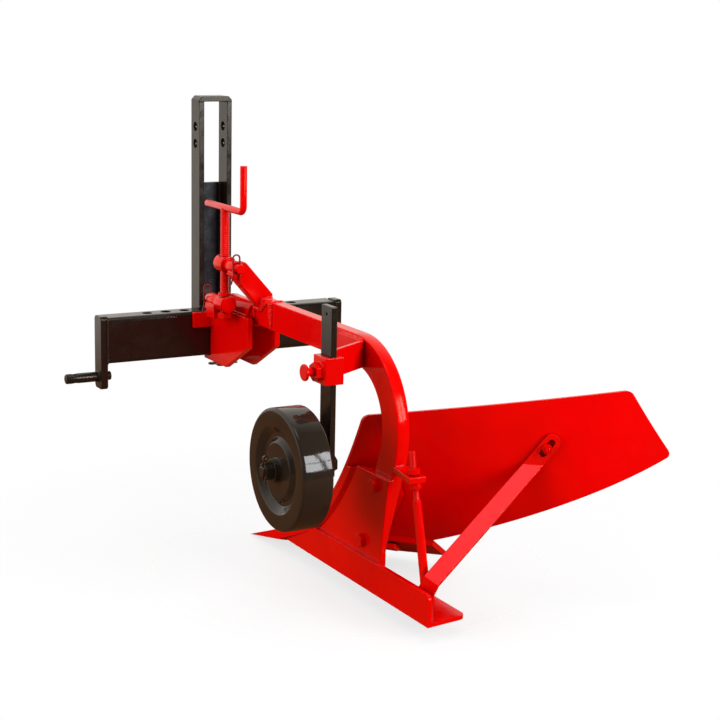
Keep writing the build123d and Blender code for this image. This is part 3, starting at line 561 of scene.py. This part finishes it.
def add_piece(name, verts, faces, body, material):
    mesh = bpy.data.meshes.new(name)
    mesh.from_pydata(verts, [], faces)
    mesh.validate()
    mesh.shade_smooth()
    mesh.set_sharp_from_angle(angle=math.radians(crisp_angle))
    mesh.materials.append(material)
    piece = bpy.data.objects.new(name, mesh)
    bpy.context.collection.objects.link(piece)
    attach(piece, body)
    return piece


def tube_faces(base, rows, sides):
    """Faces of a capped tube whose rings of corners follow each other from a base index."""
    faces = []
    for row in range(rows - 1):
        here = base + row * sides
        ahead = here + sides
        for turn in range(sides):
            beside = (turn + 1) % sides
            faces.append((here + turn, here + beside, ahead + beside, ahead + turn))
    last = base + (rows - 1) * sides
    faces.append(tuple(base + turn for turn in reversed(range(sides))))
    faces.append(tuple(last + turn for turn in range(sides)))
    return faces


def walk(points, spacing):
    """Points at an even spacing along a line of straight runs."""
    places = [Vector(points[0])]
    for first, second in zip(points, points[1:]):
        first = Vector(first)
        second = Vector(second)
        count = max(1, round((second - first).length / spacing))
        places += [first.lerp(second, step / count) for step in range(1, count + 1)]
    return places


def ring(centre, axis, radius):
    """Closed line of points round an axis."""
    axis = Vector(axis).normalized()
    side = axis.orthogonal().normalized()
    turns = [math.radians(360 * step / ring_steps) for step in range(ring_steps + 1)]
    return [Vector(centre) + Matrix.Rotation(turn, 3, axis) @ (side * radius) for turn in turns]


def across(y, z, span):
    """Straight seam from left to right."""
    return [(x, y, z) for x in span]


def along(x, z, span):
    """Straight seam from back to front."""
    return [(x, y, z) for y in span]


def upright(x, y, span):
    """Straight seam from low to high."""
    return [(x, y, z) for z in span]


def hoop(y, half, low, high):
    """Closed rectangle about the beam's middle plane."""
    return [(-half, y, low), (-half, y, high), (half, y, high), (half, y, low), (-half, y, low)]


def mirrored(runs):
    return runs + [([(-x, y, z) for x, y, z in points], radius) for points, radius in runs]


def bead_corners(points, radius):
    """Corners of one weld bead: rings of a rippled tube along a seam, tapered at open ends."""
    places = walk(points, bead_spacing)
    last = len(places) - 1
    phase = dice.random()
    closed = (places[0] - places[-1]).length < closed_gap
    corners = []
    for index, place in enumerate(places):
        way = (places[min(index + 1, last)] - places[max(index - 1, 0)]).normalized()
        side = way.cross(bead_hint).normalized()
        rise = way.cross(side)
        ripple = math.modf(index * bead_spacing / (bead_pitch * radius) + phase)[0]
        size = radius * (bead_least + bead_ripple * math.sqrt(ripple) + bead_scatter * dice.random())
        if not closed:
            margin = min(index, last - index) * bead_spacing / radius
            size = size * math.sqrt(min(1.0, bead_tip + margin))
        for turn in range(bead_sides):
            angle = 2 * math.pi * turn / bead_sides
            point = place + side * (math.cos(angle) * size) + rise * (math.sin(angle) * size)
            corners.append(point / mm_per_m)
    return corners


def weld(name, body, slot, runs):
    """Piece of several weld beads, each given as the points of its seam and its radius."""
    verts = []
    faces = []
    for points, radius in runs:
        corners = bead_corners(points, radius)
        faces += tube_faces(len(verts), len(corners) // bead_sides, bead_sides)
        verts += corners
    add_piece(name, verts, faces, body, weld_paints[slot])


def weld_headstock():
    """Uprights, web and cap, then the end plates with their link pins."""
    weld("weld_mast", "headstock", "black_paint", mirrored([
        (upright(post_outer, bar_front, bar_rise), 3.2),
        (across(bar_front, bar_top, post_width), 3.0),
        (upright(web_side, web_back, (bar_top, web_top)), 4.2),
        (along(post_outer, cap_bottom, cap_depth), 1.4),
        (across(bar_front, cap_bottom, post_width), 1.4),
    ]))
    weld("weld_ends", "headstock", "black_paint", mirrored([
        (upright(plate_inner, plate_back, bar_rise), 2.8),
        (upright(plate_inner, plate_front, bar_rise), 2.8),
        (along(plate_inner, bar_top, plate_depth), 2.6),
        (along(plate_inner, bar_bottom, plate_depth), 2.8),
        (ring((shoulder_x, hitch_y, hitch_z), x_axis, shoulder_ring), 2.4),
        (ring((plate_inner, hitch_y, hitch_z), x_axis, root_ring), 2.4),
    ]))


def weld_carriage():
    """Cheeks on the pivot tube and the guide bar, then the outrigger with its sleeve."""
    weld("weld_bracket", "headstock", "red_paint", mirrored([
        (along(tube_side, tube_foot, tube_depth), 3.4),
        (upright(cheek_side, guide_back, guide_rise), 2.4),
        (along(cheek_side, guide_bottom, guide_depth), 2.2),
    ]))
    weld("weld_outrigger", "headstock", "red_paint", [
        (along(cheek_side, outrigger_bottom, outrigger_depth), 2.8),
        (upright(cheek_side, outrigger_back, outrigger_rise), 2.8),
        (upright(cheek_side, outrigger_front, outrigger_rise), 2.8),
        (along(cheek_side, outrigger_top, (outrigger_back, outrigger_front)), 3.0),
        (along(sleeve_left, sleeve_foot, outrigger_depth), 2.4),
        (along(sleeve_right, sleeve_foot, outrigger_depth), 2.4),
    ])


def weld_beam_head():
    """Joint of beam and head block, and the tilt arm, both with heavy beads laid by hand."""
    weld("weld_beam", "beam", "red_paint", [
        (hoop(beam_front, joint_half, joint_bottom, beam_top), 3.2),
        ([(beam_side, 397, 436), (beam_side, 397, 486), (4, 399, beam_top)], 4.4),
        ([(beam_side, 405, 446), (beam_side, 405, beam_top)], 4.6),
        (ring((0, head_front, pivot_z), y_axis, shaft_radius), 1.8),
    ])
    weld("weld_arm", "beam", "red_paint", [
        ([(-14, 443, 462), (-13.5, 443, 487.5), (12, 444, 489)], 5.2),
        ([(beam_side, 435, 468), (beam_side, 433, beam_top), (8, 435, beam_crown)], 4.6),
        ([(beam_side, 426, 474), (beam_side, 423, beam_top)], 4.2),
        ([(beam_side, 417, 480), (beam_side, 414, beam_top)], 4.0),
        ([(beam_side, 481, 438), (beam_side, 481, beam_crown), (12, 481, beam_crown)], 4.8),
        ([(-14.5, 447, 464.2), (-14.5, 478, 464.2)], 5.0),
        ([(13, 446, beam_crown), (13, 479, beam_crown)], 2.6),
        (along(arm_high_x, arm_high_z, arm_depth), 3.0),
        (along(arm_low_x, arm_low_z, arm_depth), 3.0),
    ])


def weld_wheel_arm():
    weld("weld_wheel_arm", "beam", "red_paint", [
        (along(beam_face, wheel_arm_top, wheel_arm_depth), 3.0),
        (upright(beam_face, wheel_arm_front, wheel_arm_rise), 3.0),
        (upright(socket_right, wheel_arm_back, socket_rise), 2.8),
        (upright(socket_right, wheel_arm_face, socket_rise), 2.8),
        (ring((socket_left, wheel_y, clamp_z), x_axis, clamp_ring), 2.0),
    ])


def weld_stay():
    weld("weld_lug", "beam", "red_paint", [
        (across(lug_top_y, lug_top_z, lug_width), 3.0),
        (across(lug_foot_y, lug_foot_z, lug_width), 3.0),
        (ring(stay_foot, stay_slope, stay_ring), 2.4),
    ])


def weld_wheel():
    """Axle's collar on the standard and hub in the wheel."""
    weld("weld_axle", "standard", "black_paint", [
        (ring((standard_left, wheel_y, wheel_z), x_axis, collar_radius), 2.0),
    ])
    weld("weld_hub", "wheel", "black_paint", [
        (ring((wheel_left + boss_depth, wheel_y, wheel_z), x_axis, hub_radius), 2.0),
    ])


def fillet_corners(corners):
    """Closed outline with rounded corners, each given as x, radius from the axis, and fillet."""
    points = []
    for index, (x, r, fillet) in enumerate(corners):
        here = Vector((x, r))
        before = Vector(corners[index - 1][:2])
        after = Vector(corners[(index + 1) % len(corners)][:2])
        first = (before - here).normalized()
        second = (after - here).normalized()
        half = first.angle(second) / 2
        reach = fillet / math.tan(half)
        start = here + first * reach
        end = here + second * reach
        centre = here + (first + second).normalized() * (fillet / math.sin(half))
        for step in range(fillet_steps + 1):
            spoke = (start - centre).lerp(end - centre, step / fillet_steps)
            points.append(centre + spoke.normalized() * fillet)
    return points


def wheel_outline():
    """Half section of the pressed wheel: rim, dish and boss outside, then the same inside."""
    dish = wheel_left + dish_depth
    boss = wheel_left + boss_depth
    return fillet_corners([
        (wheel_left, wheel_radius, rim_fillet),
        (wheel_left, rim_inner, lip_fillet),
        (dish, dish_outer, dish_fillet),
        (dish, dish_inner, inner_fillet),
        (boss, boss_radius, boss_fillet),
        (boss, hub_radius, bore_fillet),
        (boss + wheel_wall, hub_radius, bore_fillet),
        (boss + wheel_wall, boss_radius - back_shift, inner_fillet),
        (dish + wheel_wall, dish_inner - back_shift, inner_fillet),
        (dish + wheel_wall, dish_outer + back_shift, inner_fillet),
        (wheel_left + wheel_wall, rim_inner + back_shift, inner_fillet),
        (wheel_left + wheel_wall, wheel_radius - wheel_wall, inner_fillet),
        (wheel_right, wheel_radius - wheel_wall, hem_fillet),
        (wheel_right, wheel_radius, tread_fillet),
    ])


def drill_dish(wheel):
    """Small hole through the wheel's dish, cut into its mesh."""
    spot = Vector((wheel_left + dish_depth, wheel_y, wheel_z - hole_drop)) / mm_per_m
    drill = bmesh.new()
    bmesh.ops.create_cone(
        drill,
        cap_ends=True,
        segments=hole_sides,
        radius1=hole_radius / mm_per_m,
        radius2=hole_radius / mm_per_m,
        depth=hole_depth / mm_per_m,
        matrix=Matrix.Translation(spot) @ Matrix.Rotation(math.pi / 2, 4, "Y"),
    )
    cutter_mesh = bpy.data.meshes.new("drill")
    drill.to_mesh(cutter_mesh)
    drill.free()
    cutter = bpy.data.objects.new("drill", cutter_mesh)
    bpy.context.collection.objects.link(cutter)
    cut = wheel.modifiers.new("hole", "BOOLEAN")
    cut.object = cutter
    cut.solver = "EXACT"
    bpy.context.view_layer.update()
    evaluated = wheel.evaluated_get(bpy.context.evaluated_depsgraph_get())
    drilled = bpy.data.meshes.new_from_object(evaluated)
    wheel.modifiers.clear()
    wheel.data = drilled
    drilled.set_sharp_from_angle(angle=math.radians(crisp_angle))
    bpy.data.objects.remove(cutter)


def turn_wheel():
    """Pressed steel wheel with soft edges, turned from its outline."""
    outline = wheel_outline()
    count = len(outline)
    verts = []
    faces = []
    for turn in range(wheel_sides):
        angle = 2 * math.pi * turn / wheel_sides
        for x, r in outline:
            corner = Vector((x, wheel_y + r * math.cos(angle), wheel_z + r * math.sin(angle)))
            verts.append(corner / mm_per_m)
    for turn in range(wheel_sides):
        here = turn * count
        ahead = (turn + 1) % wheel_sides * count
        for step in range(count):
            beside = (step + 1) % count
            faces.append((here + step, ahead + step, ahead + beside, here + beside))
    piece = add_piece("wheel_turned", verts, faces, "wheel", black_dip)
    drill_dish(piece)
    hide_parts("wheel")


def plain(low, high, radius):
    """Run of a rod without thread, as thread() takes it."""
    return (low, high, radius, radius, 0.0)


def thread(name, node, body, start, end, runs):
    """Round rod as rings whose radius follows a helix where it is threaded.

    A run gives its start and end along the rod, its outer and root radius, and its pitch.
    """
    start = Vector(start)
    way = (Vector(end) - start).normalized()
    side = way.orthogonal().normalized()
    verts = []
    for low, high, outer, root, pitch in runs:
        threaded = root < outer
        step = pitch / thread_steps if threaded else (high - low) / plain_steps
        count = max(1, round((high - low) / step))
        for index in range(count + 1):
            height = low + (high - low) * index / count
            for turn in range(thread_sides):
                angle = turn / thread_sides
                radius = outer
                if threaded:
                    share = math.modf(height / pitch + angle)[0]
                    wave = min(1.0, flank_slope * min(share, 1 - share))
                    radius = root + (outer - root) * wave
                arm = Matrix.Rotation(2 * math.pi * angle, 3, way) @ side
                verts.append((start + way * height + arm * radius) / mm_per_m)
    faces = tube_faces(0, len(verts) // thread_sides, thread_sides)
    piece = add_piece(name, verts, faces, body, red_weld)
    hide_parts(node)


def cut_threads():
    thread("roll_screw", "crank_screw", "crank", screw_foot, screw_top, [
        plain(0.0, screw_tip_end, screw_tip),
        plain(screw_tip_end, screw_thread_start, screw_outer),
        (screw_thread_start, screw_thread_end, screw_outer, screw_root, screw_pitch),
        plain(screw_thread_end, screw_end, screw_neck),
    ])
    thread("stay_stud", "stay_rod", "beam", stay_top, stay_foot, [
        plain(0.0, stay_tip_end, stay_tip),
        (stay_tip_end, stay_thread_end, stay_outer, stay_root, stay_pitch),
        plain(stay_thread_end, stay_step_end, stay_step),
        plain(stay_step_end, stay_lead_end, stay_shank),
        plain(stay_lead_end, stay_end, stay_shank),
    ])


def place_camera():
    data = bpy.data.cameras.new("camera")
    data.lens = camera_lens
    data.sensor_width = camera_sensor
    camera = bpy.data.objects.new("camera", data)
    bpy.context.collection.objects.link(camera)
    turn = Matrix.Rotation(math.radians(camera_azimuth), 4, "Z")
    lift = Matrix.Rotation(math.radians(90 - camera_elevation), 4, "X")
    roll = Matrix.Rotation(math.radians(camera_roll), 4, "Z")
    camera.matrix_world = Matrix.Translation(camera_spot) @ turn @ lift @ roll
    bpy.context.scene.camera = camera


def add_panel(name, spot, size, power):
    """Area lamp aimed at the plough."""
    data = bpy.data.lights.new(name, "AREA")
    data.shape = "RECTANGLE"
    data.size, data.size_y = size
    data.energy = power
    lamp = bpy.data.objects.new(name, data)
    bpy.context.collection.objects.link(lamp)
    aim = (aim_spot - spot).to_track_quat("-Z", "Y")
    lamp.matrix_world = Matrix.Translation(spot) @ aim.to_matrix().to_4x4()
    return lamp


def light_scene():
    """Four panes of a window to the camera's right, a panel overhead and one on the left.

    Reflections don't show the left panel.
    """
    x, y, z = pane_spot
    shift_x, shift_y, shift_z = pane_shift
    for column in (-1, 1):
        for row in (-1, 1):
            spot = Vector((x + shift_x * column, y + shift_y * column, z + shift_z * row))
            add_panel("pane_%d_%d" % (column + 1, row + 1), spot, pane_size, pane_power)
    left_panel = add_panel("left_panel", left_spot, left_size, left_power)
    left_panel.visible_glossy = False
    add_panel("top_panel", top_spot, top_size, top_power)


def dress_world():
    """White to the camera and through clear things.

    In reflections it is pale ahead of the camera and dark behind it. To other rays it is a soft
    sky over dark ground.
    """
    world = bpy.data.worlds.new("studio")
    bpy.context.scene.world = world
    world.use_nodes = True
    tree = world.node_tree
    tree.nodes.clear()
    path = add_node(tree, "ShaderNodeLightPath")
    place = add_node(tree, "ShaderNodeTexCoord")
    split = add_node(tree, "ShaderNodeSeparateXYZ")
    link(tree, place.outputs["Generated"], split.inputs["Vector"])
    sky = add_node(tree, "ShaderNodeBackground")
    link(tree, ramp(tree, split.outputs["Z"], sky_span, (ground_light, sky_light)), sky.inputs["Color"])
    room = add_node(tree, "ShaderNodeBackground")
    ahead = ramp(tree, split.outputs["Y"], room_span)
    link(tree, blend_colour(tree, ahead, room_dark, room_pale), room.inputs["Color"])
    white = add_node(tree, "ShaderNodeBackground")
    white.inputs["Color"].default_value = room_white
    is_glossy = path.outputs["Is Glossy Ray"]
    unseen = mix_shaders(tree, is_glossy, sky.outputs["Background"], room.outputs["Background"])
    is_camera = path.outputs["Is Camera Ray"]
    is_clear = calculate(tree, "MAXIMUM", is_camera, path.outputs["Is Transmission Ray"])
    shader = mix_shaders(tree, is_clear, unseen, white.outputs["Background"])
    output = add_node(tree, "ShaderNodeOutputWorld")
    link(tree, shader, output.inputs["Surface"])


def floor_paint():
    """Pale to the camera and brown to other rays.

    To the camera, part of the white background shows through round the plough and all of it
    further out. To all rays the rim fades away.
    """
    material = bpy.data.materials.new("floor_pale")
    material.use_nodes = True
    tree = material.node_tree
    tree.nodes.clear()
    path = add_node(tree, "ShaderNodeLightPath")
    is_camera = path.outputs["Is Camera Ray"]
    place = add_node(tree, "ShaderNodeTexCoord")
    length = add_node(tree, "ShaderNodeVectorMath", operation="LENGTH")
    link(tree, place.outputs["Object"], length.inputs[0])
    reach = length.outputs["Value"]
    shown = ramp(tree, reach, (floor_shown * shown_from, floor_shown), (floor_through, 1.0))
    seen = calculate(tree, "MULTIPLY", is_camera, shown)
    rim = ramp(tree, reach, (floor_radius * rim_from, floor_radius * rim_to))
    is_clear = calculate(tree, "MAXIMUM", seen, rim)
    solid = add_node(tree, "ShaderNodeBsdfDiffuse")
    link(tree, blend_colour(tree, is_camera, floor_bounce, floor_seen), solid.inputs["Color"])
    through = add_node(tree, "ShaderNodeBsdfTransparent")
    shader = mix_shaders(tree, is_clear, solid.outputs["BSDF"], through.outputs["BSDF"])
    output = add_node(tree, "ShaderNodeOutputMaterial")
    link(tree, shader, output.inputs["Surface"])
    return material


def lay_floor():
    mesh = bpy.data.meshes.new("floor")
    grid = bmesh.new()
    bmesh.ops.create_circle(grid, cap_ends=True, segments=floor_sides, radius=floor_radius)
    grid.to_mesh(mesh)
    grid.free()
    mesh.materials.append(floor_paint())
    floor = bpy.data.objects.new("floor", mesh)
    floor.location = (floor_x, floor_y, cad_box[0][2] - floor_drop)
    bpy.context.collection.objects.link(floor)


dress_nodes()
weld_headstock()
weld_carriage()
weld_beam_head()
weld_wheel_arm()
weld_stay()
weld_wheel()
turn_wheel()
cut_threads()
place_camera()
light_scene()
dress_world()
lay_floor()
bpy.context.scene.view_settings.view_transform = "Standard"
